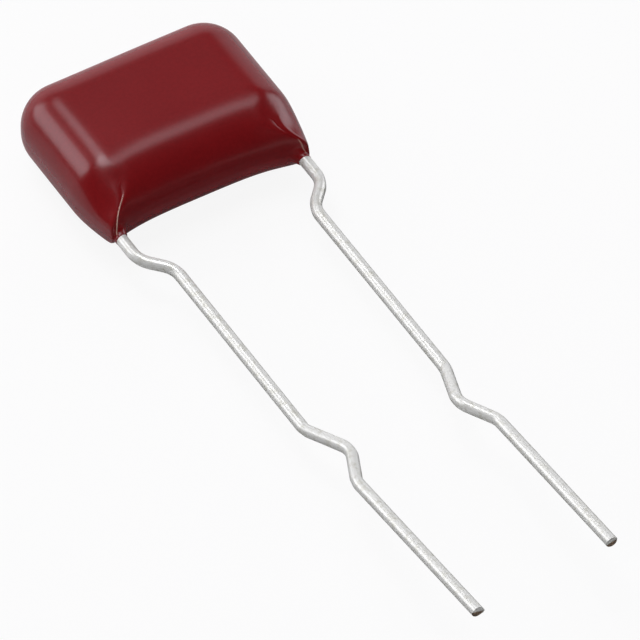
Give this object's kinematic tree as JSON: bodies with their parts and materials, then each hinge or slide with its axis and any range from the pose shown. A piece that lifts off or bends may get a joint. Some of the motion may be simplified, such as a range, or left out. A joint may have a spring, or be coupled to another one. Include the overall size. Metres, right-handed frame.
{
  "type": "film capacitor",
  "caption": "Dipped radial film capacitor in dark red epoxy, lying on its flat back, with tinned leads that have stand-off kinks.",
  "frame": {"origin": "middle of the flat back face that the part lies on, halfway up the coated body and halfway between the leads", "axes": "+Z through the thickness from the back face, +Y from the leads towards the top of the body, +X from the left lead to the right lead"},
  "size_m": [0.0118, 0.0397, 0.0045],
  "materials": {
    "dipped_epoxy": "glossy dipped epoxy, dark red",
    "metallised_film": "satin wound polyester film with a thin metal layer",
    "sprayed_zinc": "matte grey sprayed zinc, rough",
    "tinned_wire": "satin tinned wire"
  },
  "bodies": {
    "root": {"coating": "dipped_epoxy", "film_winding": "metallised_film", "end_spray_left": "sprayed_zinc", "end_spray_right": "sprayed_zinc", "lead_left": "tinned_wire", "lead_right": "tinned_wire"}
  },
  "joints": []
}
